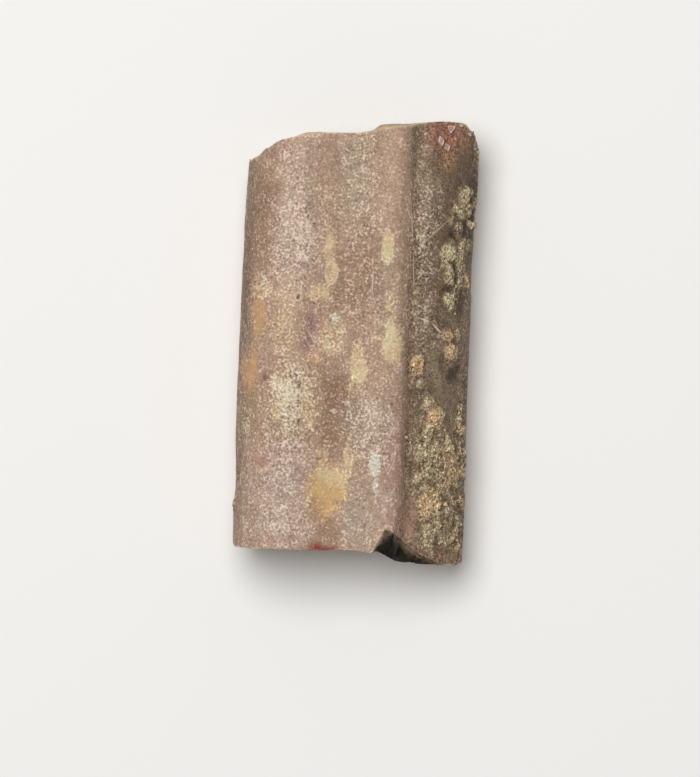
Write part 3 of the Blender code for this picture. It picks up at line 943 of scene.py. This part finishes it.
        for patch in STAINS:
            share = patch.share(skin)
            stain += (patch.tint.colour() - stain) * share[:, None]
            stained += (1 - stained) * share
        stain /= np.maximum(stained, 0.001)[:, None]
        for share, tint in layers + covers:
            tone += (tint.colour() - tone) * share[:, None]
        for share, _ in covers:
            stained *= 1 - share
        ripple = (
            0.6 * grain(place, (1.3, 1.8, 1.3), 26.0)
            + 0.8 * grain(place, (0.6, 0.8, 0.6), 27.0)
            + 0.9 * grain(place, 0.3, 28.0)
        )
        uneven = (1 + (0.12 + 0.05 * flank) * ripple)[:, None]
        smooth_stains = skin.mean_share([patch for patch in STAINS if patch.tint in SMOOTH_TINTS])
        frost = 0.35 + 0.65 * np.maximum(frosting, 0.15 * hidden)
        frost *= (1 - 0.9 * smooth_stains) * (1 - skin.mean_share(CALM)) * (1 - 0.8 * skin.crust)
        clumps = 1 + 0.6 * grain(place, (1.1, 1.5, 1.1), 29.0)
        lively = 0.46 + 0.4 * flank + 0.35 * frosting + 0.2 * skin.crust
        contrast = lively * (1 - 0.6 * smooth_stains) * clumps
        self.store(mesh, "tone", np.column_stack([tone * uneven, np.clip(frost, 0, 1)]))
        self.store(mesh, "stain", np.column_stack([stain * uneven, stained]))
        self.store(mesh, "form", np.column_stack([skin.crust, skin.broken, cortex, contrast]))

    @staticmethod
    def store(mesh: bpy.types.Mesh, name: str, values: np.ndarray) -> None:
        """Stores four numbers a vertex as an attribute.

        Args:
            mesh: The mesh that gets it.
            name: The attribute's name.
            values: The numbers, one vertex a row.
        """
        layer = mesh.attributes.new(name, "FLOAT_COLOR", "POINT")
        layer.data.foreach_set("color", values.astype(np.float32).ravel())


@dataclass
class MatrixCrumbs:
    """Grains of sandy matrix that are stuck fast on the crust."""

    name: str = "matrix_crumbs"
    count: int = 700
    smallest: float = 0.045
    largest: float = 0.15
    sunk: float = 0.35
    jitter: float = 0.28
    seed: int = 11
    thick_crust: float = 0.55
    lowest: float = 1.0
    last: float = 11.5

    def build(self, surface: bpy.types.Object, skin: Skin) -> bpy.types.Object:
        """Makes the grains as one piece.

        Args:
            surface: The dressed spine surface.
            skin: That surface as numbers.

        Returns:
            The object, in the scene.
        """
        dice = random.Random(self.seed)
        tints = [Tint.TAN, Tint.SAND, Tint.OLIVE, Tint.OLIVE, Tint.BROWN, Tint.UMBER]
        _, y, z = skin.points.T
        sticky = (skin.crust > self.thick_crust) & (z > self.lowest) & (y < self.last)
        crusted = np.nonzero(sticky)[0].tolist()
        vertices = surface.data.vertices
        bm = bmesh.new()
        tone = bm.verts.layers.float_color.new("tone")
        for index in dice.sample(crusted, self.count):
            radius = self.smallest + (self.largest - self.smallest) * dice.random() ** 2
            size = [radius * dice.uniform(0.7, 1.25) * MM for _ in range(3)]
            turn = Euler([dice.uniform(0, math.tau) for _ in range(3)])
            centre = vertices[index].co - vertices[index].normal * radius * self.sunk * MM
            place = Matrix.LocRotScale(centre, turn, size)
            crumb = bmesh.ops.create_icosphere(bm, subdivisions=1, radius=1, matrix=place)
            colour = linear(dice.choice(tints).value)
            for vert in crumb["verts"]:
                vert.co += (vert.co - centre) * dice.uniform(-self.jitter, self.jitter)
                vert[tone] = colour
        low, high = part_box(NODE)
        for vert in bm.verts:
            vert.co = [min(max(c, a), b) for c, a, b in zip(vert.co, low, high)]
        return add_object(self.name, to_mesh(self.name, bm))


@dataclass(frozen=True)
class Crystal:
    """One crystal in the scoop: where it sits, its size, and how it is turned and tipped."""

    x: float
    y: float
    length: float
    width: float
    height: float
    turn: float
    tip: float
    sides: int = 4


@dataclass
class ScoopCrystals:
    """Pinkish calcite crystals that line the scoop at the tip's right corner."""

    name: str = "scoop_crystals"
    point: float = 0.75
    edge: float = 0.02
    border: float = 0.055
    sunk: float = 0.03
    raised: float = 0.25
    crystals: tuple[Crystal, ...] = (
        Crystal(5.17, 13.76, 0.88, 0.52, 0.50, -74, 6),
        Crystal(5.62, 13.40, 0.74, 0.56, 0.46, -66, 8),
        Crystal(5.90, 14.78, 0.88, 0.86, 0.42, 176, 6, sides=3),
        Crystal(6.60, 14.98, 0.40, 0.20, 0.26, -8, 8, sides=5),
        Crystal(7.20, 14.42, 0.44, 0.20, 0.26, -52, 8),
        Crystal(4.20, 14.22, 0.32, 0.18, 0.18, 25, 8, sides=5),
        Crystal(6.25, 14.05, 0.22, 0.16, 0.20, 65, -8),
    )

    def build(self, surface: bpy.types.Object) -> bpy.types.Object:
        """Makes the crystals as one piece.

        Args:
            surface: The dressed spine surface.

        Returns:
            The object, in the scene.
        """
        bm = bmesh.new()
        painted_glint = bm.verts.layers.float_color.new("edge")
        for crystal in self.crystals:
            start = Vector((crystal.x, crystal.y, 0)) * MM
            start.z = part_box(NODE)[1].z + MM
            hit, ground, normal, _ = surface.ray_cast(start, Vector((0, 0, -1)))
            if not hit:
                log.warning("%s: nothing under (%.2f, %.2f)", self.name, crystal.x, crystal.y)
                continue
            ground = ground + normal * crystal.height * self.raised * MM
            axis = (normal + Vector((0, 0, 2))).normalized()
            lean = Vector((0, 0, 1)).rotation_difference(axis).to_matrix().to_4x4()
            turn = Euler((math.radians(crystal.tip), 0, math.radians(crystal.turn))).to_matrix()
            size = Matrix.Diagonal((crystal.length * MM, crystal.width * MM, 1, 1))
            cone = bmesh.ops.create_cone(
                bm,
                cap_ends=True,
                segments=crystal.sides,
                radius1=0.5,
                radius2=0.5 * self.point,
                depth=crystal.height * MM,
                matrix=Matrix.Translation(ground) @ lean @ turn.to_4x4() @ size,
            )
            # Painted glint: the crystal's sides and edges are painted bright, its sunk top face is
            # not.
            for vert in cone["verts"]:
                vert[painted_glint] = (1.0, 1.0, 1.0, 1.0)
            faces = {face for vert in cone["verts"] for face in vert.link_faces}
            top = max(faces, key=lambda face: face.calc_center_median().dot(axis))
            bmesh.ops.inset_individual(
                bm, faces=[top], thickness=self.border * MM, depth=-self.sunk * MM
            )
            for vert in top.verts:
                vert[painted_glint] = (0.0, 0.0, 0.0, 1.0)
        bmesh.ops.bevel(
            bm,
            geom=bm.edges,
            offset=self.edge * MM,
            segments=1,
            affect="EDGES",
            profile=0.5,
            material=-1,
        )
        return add_object(self.name, to_mesh(self.name, bm))


@dataclass(frozen=True)
class Patterns:
    """The noise patterns that the parts of the bone's material share, and what adds a node."""

    add: AddNode
    place: Socket
    fibre: Socket
    mottle: Socket
    fine: Socket
    speck: Socket
    curl: Socket


@dataclass(frozen=True)
class FossilBone:
    """Mineralised bone with rock matrix on it, weathered and never polished.

    To the eye it is a dull stone: mauve brown, full of white flecks as fine as salt, with
    faint fibres along its length. The real grain is about a tenth of a millimetre. Flecks
    and pits are drawn a little coarser than that, so that they show in the render.
    """

    name: str = "mineralised_bone"
    fibre_width: float = 0.28
    fibre_length: float = 3.4
    mottle_size: float = 0.75
    grain_size: float = 0.13
    fleck_size: float = 0.17
    curl_size: float = 0.36
    curl_width: float = 0.036
    crumb_size: float = 0.17
    grain_depth: float = 0.03
    crumb_depth: float = 0.12
    fleck_tint: str = "#E2D3BF"
    fleck_light: float = 1.85
    darkest: float = 0.25
    stain_grain: float = 10.0
    pit_tint: str = "#563E2C"
    scratch_tint: str = "#D8C9B4"
    front_height: float = 4.0
    any_height: float = 1000.0
    ior: float = 1.52
    specular_level: float = 0.25

    def material(self) -> bpy.types.Material:
        """Makes the material.

        Returns:
            The finished material.
        """
        material, add = begin_material(self.name)
        tone = add("Attribute", attribute_name="tone")
        frost = tone.node.outputs["Alpha"]
        form = add("Attribute", attribute_name="form")
        contrast = form.node.outputs["Alpha"]
        crust, broken, cortex = add("SeparateColor", {"Color": form}).node.outputs
        patterns = self.patterns(add)
        tone = self.stained(patterns, tone)
        bone = self.grained(patterns, tone, contrast)
        bone, white = self.flecked(patterns, bone, tone, frost, contrast)
        bone, crumb_height = self.crusted(patterns, bone, crust)
        bone = self.scratched(patterns, bone)
        surface = self.broken_end(patterns, bone, tone, broken, cortex)
        ends = {"From Min": 0.35, "From Max": 0.7, "To Min": 0.74, "To Max": 0.5}
        shader = add(
            "BsdfPrincipled",
            {
                "Base Color": surface,
                "Roughness": add("MapRange", {"Value": patterns.speck, **ends}),
                "IOR": self.ior,
                "Specular IOR Level": self.specular_level,
                "Normal": self.fine_relief(patterns, white, crumb_height),
            },
        )
        add("OutputMaterial", {"Surface": shader})
        return material

    def patterns(self, add: AddNode) -> Patterns:
        """Adds the shared patterns.

        Args:
            add: What adds a node to the material.

        Returns:
            The patterns' sockets, with the place in millimetres.
        """
        places = add("TexCoord", output=3)
        place = add("Mapping", {"Vector": places, "Scale": (1 / MM,) * 3})
        stretch = (1.0, self.fibre_width / self.fibre_length, 1.0)
        along = add("Mapping", {"Vector": place, "Scale": stretch})
        # Each row is where a noise is read, the size of its waves, detail, roughness, distortion.
        rows = [
            (along, self.fibre_width, 4.0, 0.65, 0.0),
            (place, self.mottle_size, 3.0, 0.6, 0.0),
            (place, self.grain_size, 2.0, 0.6, 0.0),
            (place, self.fleck_size, 2.0, 0.5, 0.0),
            (place, self.curl_size, 1.0, 0.5, 1.0),
        ]
        names = ("Vector", "Scale", "Detail", "Roughness", "Distortion")
        noises = [
            add("TexNoise", dict(zip(names, (where, 1 / size, *rest))))
            for where, size, *rest in rows
        ]
        return Patterns(add, place, *noises)

    def stained(self, patterns: Patterns, tone: Socket) -> Socket:
        """Lays the mineral stains over the bone, with their edges broken up into grains.

        Args:
            patterns: The shared patterns.
            tone: The bone's colour.

        Returns:
            The new colour.
        """
        add = patterns.add
        stain = add("Attribute", attribute_name="stain")
        share = stain.node.outputs["Alpha"]
        bare = add("Math", {0: 1.0, 1: share}, operation="SUBTRACT")
        edge = add("Math", {0: share, 1: bare}, operation="MULTIPLY")
        grains = add("Math", {0: patterns.speck, 1: 0.5}, operation="SUBTRACT")
        grains = add("Math", {0: grains, 1: self.stain_grain}, operation="MULTIPLY")
        parts = {0: edge, 1: grains, 2: share}
        share = add("Math", parts, operation="MULTIPLY_ADD", use_clamp=True)
        return add("Mix", {"Factor": share, 6: tone, 7: stain}, **COLOURS)

    def grained(self, patterns: Patterns, tone: Socket, contrast: Socket) -> Socket:
        """Makes the bone lighter and darker by its fibres, mottling and grain.

        Args:
            patterns: The shared patterns.
            tone: The bone's colour.
            contrast: How strong the grain is.

        Returns:
            The grained colour.
        """
        add = patterns.add
        weights = [
            (patterns.fibre, 0.7),
            (patterns.mottle, 0.6),
            (patterns.speck, 1.5),
            (patterns.fine, 2.7),
        ]
        swing = -0.5 * sum(weight for _, weight in weights)
        for pattern, weight in weights:
            swing = add("Math", {0: pattern, 1: weight, 2: swing}, operation="MULTIPLY_ADD")
        light = add("Math", {0: swing, 1: contrast, 2: 1.0}, operation="MULTIPLY_ADD")
        light = add("Math", {0: light, 1: self.darkest}, operation="MAXIMUM")
        return add("VectorMath", {0: tone, "Scale": light}, operation="SCALE")

    def flecked(
        self, patterns: Patterns, bone: Socket, tone: Socket, frost: Socket, contrast: Socket
    ) -> tuple[Socket, Socket]:
        """Strews dark pits, white flecks and thin curled threads over the bone.

        Args:
            patterns: The shared patterns.
            bone: The colour so far.
            tone: The bone's colour without its grain.
            frost: How densely the flecks lie.
            contrast: How dark the pits are.

        Returns:
            The new colour, and where it is white.
        """
        add, speck, mottle = patterns.add, patterns.speck, patterns.mottle
        pits = add("MapRange", {"Value": speck, "From Min": 0.35, "From Max": 0.25}, **SMOOTH)
        pits = add("Math", {0: pits, 1: contrast}, operation="MULTIPLY")
        bone = add("Mix", {"Factor": pits, 6: bone, 7: linear(self.pit_tint)}, **COLOURS)
        dense = add("Math", {0: frost, 1: 0.12, 2: speck}, operation="MULTIPLY_ADD")
        dense = add("Math", {0: mottle, 1: 0.4, 2: dense}, operation="MULTIPLY_ADD")
        flecks = add("MapRange", {"Value": dense, "From Min": 0.78, "From Max": 0.96}, **SMOOTH)
        off_middle = add("Math", {0: patterns.curl, 1: 0.5}, operation="SUBTRACT")
        off_middle = add("Math", {0: off_middle}, operation="ABSOLUTE")
        ends = {"From Min": self.curl_width, "From Max": self.curl_width * 0.3, "To Max": 0.75}
        threads = add("MapRange", {"Value": off_middle, **ends}, **SMOOTH)
        gaps = add("Math", {0: frost, 1: 0.2, 2: mottle}, operation="MULTIPLY_ADD")
        gaps = add("MapRange", {"Value": gaps, "From Min": 0.61, "From Max": 0.72}, **SMOOTH)
        threads = add("Math", {0: threads, 1: gaps}, operation="MULTIPLY")
        white = add("Math", {0: flecks, 1: threads}, operation="MAXIMUM")
        calm = add("MapRange", {"Value": frost, "From Min": 0.0, "From Max": 0.3})
        white = add("Math", {0: white, 1: calm}, operation="MULTIPLY")
        own = add("VectorMath", {0: tone, "Scale": self.fleck_light}, operation="SCALE")
        fleck = add("Mix", {"Factor": frost, 6: own, 7: linear(self.fleck_tint)}, **COLOURS)
        return add("Mix", {"Factor": white, 6: bone, 7: fleck}, **COLOURS), white

    def crusted(self, patterns: Patterns, bone: Socket, crust: Socket) -> tuple[Socket, Socket]:
        """Breaks the crust up into crumbs, each lighter or darker than its neighbours, with
        painted shade towards each crumb's edge.

        Args:
            patterns: The shared patterns.
            bone: The colour so far.
            crust: Where the crust is.

        Returns:
            The new colour, and the crumbs' height.
        """
        add = patterns.add
        crumbs = add("TexVoronoi", {"Vector": patterns.place, "Scale": 1 / self.crumb_size})
        chance = add("SeparateColor", {"Color": crumbs.node.outputs["Color"]})
        light = add("MapRange", {"Value": chance, "To Min": 0.68, "To Max": 1.48})
        # Painted shade: each crumb darker towards its edge.
        ends = {"From Min": 0.2, "From Max": 0.75, "To Min": 1.12, "To Max": 0.72}
        shade = add("MapRange", {"Value": crumbs, **ends})
        light = add("Math", {0: light, 1: shade}, operation="MULTIPLY")
        crumb = add("VectorMath", {0: bone, "Scale": light}, operation="SCALE")
        colour = add("Mix", {"Factor": crust, 6: bone, 7: crumb}, **COLOURS)
        return colour, add("Math", {0: crumbs, 1: crust}, operation="MULTIPLY")

    @staticmethod
    def oval(patterns: Patterns, middle: Triple, size: Triple, turn: float = 0.0) -> Socket:
        """Reads how far each place is from an oval's middle, as a share of its size.

        Args:
            patterns: The shared patterns.
            middle: The oval's middle.
            size: Half its length, width and height.
            turn: How far it is turned, in radians.

        Returns:
            The share, which is 1 on the oval's edge.
        """
        lie = {"Location": middle, "Rotation": (0, 0, turn), "Scale": size}
        local = patterns.add("Mapping", {"Vector": patterns.place, **lie}, vector_type="TEXTURE")
        return patterns.add("VectorMath", {0: local}, output=1, operation="LENGTH")

    def scratched(self, patterns: Patterns, bone: Socket) -> Socket:
        """Draws the scratches on the front, and the pale rings round some of its pits.

        Args:
            patterns: The shared patterns.
            bone: The colour so far.

        Returns:
            The new colour.
        """
        add = patterns.add
        marks = []
        for scratch in SCRATCHES:
            run, rise = scratch.end_x - scratch.x, scratch.end_y - scratch.y
            middle = (scratch.x + run / 2, scratch.y + rise / 2, 0)
            size = (math.hypot(run, rise) / 2, scratch.width, self.any_height)
            reach = self.oval(patterns, middle, size, math.atan2(rise, run))
            ends = {"From Min": 1.0, "From Max": 0.3, "To Max": scratch.strength}
            marks.append(add("MapRange", {"Value": reach, **ends}, **SMOOTH))
        for pit in (pit for pit in PITS if pit.ring):
            size = (pit.radius, pit.radius * pit.stretch, self.any_height)
            reach = self.oval(patterns, (pit.x, pit.y, 0), size)
            off = add("Math", {0: reach, 1: 1.0}, operation="SUBTRACT")
            off = add("Math", {0: off}, operation="ABSOLUTE")
            ends = {"From Min": pit.ring_width / pit.radius, "From Max": 0.0, "To Max": 0.75}
            marks.append(add("MapRange", {"Value": off, **ends}, **SMOOTH))
        lines = marks[0]
        for mark in marks[1:]:
            lines = add("Math", {0: mark, 1: lines}, operation="MAXIMUM")
        height = add("SeparateXYZ", {"Vector": patterns.place}, output=2)
        ends = {"From Min": self.front_height, "From Max": self.front_height + 1}
        front = add("MapRange", {"Value": height, **ends})
        lines = add("Math", {0: lines, 1: front}, operation="MULTIPLY")
        return add("Mix", {"Factor": lines, 6: bone, 7: linear(self.scratch_tint)}, **COLOURS)

    def broken_end(
        self, patterns: Patterns, bone: Socket, tone: Socket, broken: Socket, cortex: Socket
    ) -> Socket:
        """Draws the pores and the grain of the broken ends, where the bone lies open.

        Args:
            patterns: The shared patterns.
            bone: The colour so far.
            tone: The colour of the break.
            broken: Where the bone is broken through.
            cortex: Where the break shows the dense outer bone, which has no pores.

        Returns:
            The new colour.
        """
        add = patterns.add
        pores = add("Math", {0: patterns.curl, 1: patterns.mottle}, operation="ADD")
        ends = {"From Min": 0.82, "From Max": 1.02, "To Min": 0.35, "To Max": 1.1}
        spongy = add("MapRange", {"Value": pores, **ends}, **SMOOTH)
        light = add("Mix", {"Factor": cortex, 2: spongy, 3: 1.0}, data_type="FLOAT")
        ends = {"From Min": 0.3, "From Max": 0.7, "To Min": 0.75, "To Max": 1.25}
        sugar = add("MapRange", {"Value": patterns.fine, **ends})
        light = add("Math", {0: light, 1: sugar}, operation="MULTIPLY")
        inner = add("VectorMath", {0: tone, "Scale": light}, operation="SCALE")
        return add("Mix", {"Factor": broken, 6: bone, 7: inner}, **COLOURS)

    def fine_relief(self, patterns: Patterns, white: Socket, crumb_height: Socket) -> Socket:
        """Adds the relief that is finer than the mesh.

        Args:
            patterns: The shared patterns.
            white: Where the flecks are.
            crumb_height: How far the crumbs' middles are.

        Returns:
            The surface's normal.
        """
        add = patterns.add
        height = add("Math", {0: white, 1: 0.5, 2: patterns.fine}, operation="MULTIPLY_ADD")
        height = add("Math", {0: patterns.fibre, 1: 0.6, 2: height}, operation="MULTIPLY_ADD")
        bump = add("Bump", {"Height": height, "Distance": self.grain_depth * MM})
        crumbs = {"Height": crumb_height, "Distance": self.crumb_depth * MM, "Normal": bump}
        return add("Bump", crumbs, invert=True)


@dataclass(frozen=True)
class SandyMatrix:
    """Grains of sandy siltstone, rough and dull, each its own colour, as broken by weather."""

    name: str = "sandy_matrix"
    grain_size: float = 0.09
    grain_depth: float = 0.03
    ior: float = 1.5

    def material(self) -> bpy.types.Material:
        """Makes the material.

        Returns:
            The finished material.
        """
        material, add = begin_material(self.name)
        places = add("TexCoord", output=3)
        scale = 1 / (self.grain_size * MM)
        sand = add("TexNoise", {"Vector": places, "Scale": scale, "Detail": 2.0})
        ends = {"From Min": 0.3, "From Max": 0.7, "To Min": 0.7, "To Max": 1.3}
        light = add("MapRange", {"Value": sand, **ends})
        tone = add("Attribute", attribute_name="tone")
        shader = add(
            "BsdfPrincipled",
            {
                "Base Color": add("VectorMath", {0: tone, "Scale": light}, operation="SCALE"),
                "Roughness": add("MapRange", {"Value": sand, "To Min": 0.9, "To Max": 0.65}),
                "IOR": self.ior,
                "Normal": add("Bump", {"Height": sand, "Distance": self.grain_depth * MM}),
            },
        )
        add("OutputMaterial", {"Surface": shader})
        return material


@dataclass(frozen=True)
class PinkCalcite:
    """Clear to milky pink calcite that grew as crystals: glassy, with a painted glint along its
    edges.
    """

    name: str = "pink_calcite"
    glint_tint: str = "#FBE6D6"
    milky_tint: str = "#BE968A"
    cloud_size: float = 0.3
    cloudiness: float = 0.8
    roughness: float = 0.16
    transmission: float = 0.2
    ior: float = 1.55

    def material(self) -> bpy.types.Material:
        """Makes the material.

        Returns:
            The finished material.
        """
        material, add = begin_material(self.name)
        places = add("TexCoord", output=3)
        scale = 1 / (self.cloud_size * MM)
        clouds = add("TexNoise", {"Vector": places, "Scale": scale, "Detail": 3.0})
        # The edge attribute carries the painted glint along the crystals' edges.
        edge = add("Attribute", output=2, attribute_name="edge")
        parts = {0: clouds, 1: self.cloudiness, 2: -0.5 * self.cloudiness}
        glint_and_clouds = add("Math", parts, operation="MULTIPLY_ADD")
        glint_and_clouds = add("Math", {0: edge, 1: glint_and_clouds}, operation="ADD", use_clamp=True)
        tints = {6: linear(self.milky_tint), 7: linear(self.glint_tint)}
        shader = add(
            "BsdfPrincipled",
            {
                "Base Color": add("Mix", {"Factor": glint_and_clouds, **tints}, **COLOURS),
                "Roughness": self.roughness,
                "IOR": self.ior,
                "Transmission Weight": self.transmission,
            },
        )
        add("OutputMaterial", {"Surface": shader})
        return material


@dataclass(frozen=True)
class Studio:
    """A white table, soft light from the upper left, and a camera straight above."""

    pixel: float = 0.0687
    long_side: int = 777
    camera_height: float = 400.0
    sensor: float = 36.0
    nearest: float = 10.0
    farthest: float = 20000.0
    turn: float = math.radians(2.38)
    centre_x: float = -0.24
    centre_y: float = -3.40
    middle_height: float = 6.5
    floor_width: float = 3000.0
    floor_tint: str = "#F7F6F4"
    floor_roughness: float = 0.9
    key_place: Triple = (-85.0, 105.0, 490.0)
    key_size: float = 320.0
    key_power: float = 2.17
    world_tint: str = "#F6F4F0"
    world_strength: float = 0.22

    def build(self) -> None:
        """Makes the floor, the lights and the camera."""
        self.floor()
        self.lights()
        self.camera()
        bpy.context.scene.view_settings.view_transform = "Standard"

    def floor(self) -> None:
        """Lays a plain matt white floor under the piece."""
        bm = bmesh.new()
        bmesh.ops.create_grid(bm, x_segments=1, y_segments=1, size=self.floor_width / 2 * MM)
        floor = add_object("studio_floor", to_mesh("studio_floor", bm))
        paper = bpy.data.materials.new("matt_white_paper")
        paper.use_nodes = True
        shader = paper.node_tree.nodes["Principled BSDF"]
        shader.inputs["Base Color"].default_value = linear(self.floor_tint)
        shader.inputs["Roughness"].default_value = self.floor_roughness
        floor.data.materials.append(paper)

    def lights(self) -> None:
        """Hangs one large softbox, and fills the shadows from all round."""
        lamp = bpy.data.lights.new("softbox", "AREA")
        lamp.shape = "DISK"
        lamp.size = self.key_size * MM
        lamp.energy = self.key_power
        softbox = add_object("softbox", lamp)
        softbox.location = Vector(self.key_place) * MM
        softbox.rotation_euler = softbox.location.to_track_quat("Z", "Y").to_euler()
        world = bpy.data.worlds.new("studio_fill")
        world.use_nodes = True
        fill = world.node_tree.nodes["Background"]
        fill.inputs["Color"].default_value = linear(self.world_tint)
        fill.inputs["Strength"].default_value = self.world_strength
        bpy.context.scene.world = world

    def camera(self) -> None:
        """Hangs the camera straight above the front, turned so that the tip leans right."""
        data = bpy.data.cameras.new("camera")
        data.sensor_width = self.sensor
        distance = self.camera_height - self.middle_height
        data.lens = self.sensor * distance / (self.long_side * self.pixel)
        data.clip_start = self.nearest * MM
        data.clip_end = self.farthest * MM
        camera = add_object("camera", data)
        camera.location = Vector((self.centre_x, self.centre_y, self.camera_height)) * MM
        camera.rotation_euler = (0.0, 0.0, self.turn)
        bpy.context.scene.camera = camera


def finish_piece(piece: bpy.types.Object, material: bpy.types.Material) -> None:
    """Gives a piece its material, makes it part of the object and reports it.

    Args:
        piece: The piece.
        material: Its only material.
    """
    piece.data.materials.clear()
    piece.data.materials.append(material)
    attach(piece, BODY)
    log.info("%s: %d faces of %s", piece.name, len(piece.data.polygons), material.name)


def main() -> None:
    """Builds the section and its studio, and reports each piece."""
    logging.basicConfig(level=logging.INFO, format="%(message)s")
    surface, skin = SpineSurface().build()
    bpy.context.view_layer.update()
    crumbs = MatrixCrumbs().build(surface, skin)
    crystals = ScoopCrystals().build(surface)
    finish_piece(surface, FossilBone().material())
    finish_piece(crumbs, SandyMatrix().material())
    finish_piece(crystals, PinkCalcite().material())
    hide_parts(NODE)
    Studio().build()
    log.info("studio: floor, softbox, fill and camera")


if __name__ == "__main__":
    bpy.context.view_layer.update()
    main()
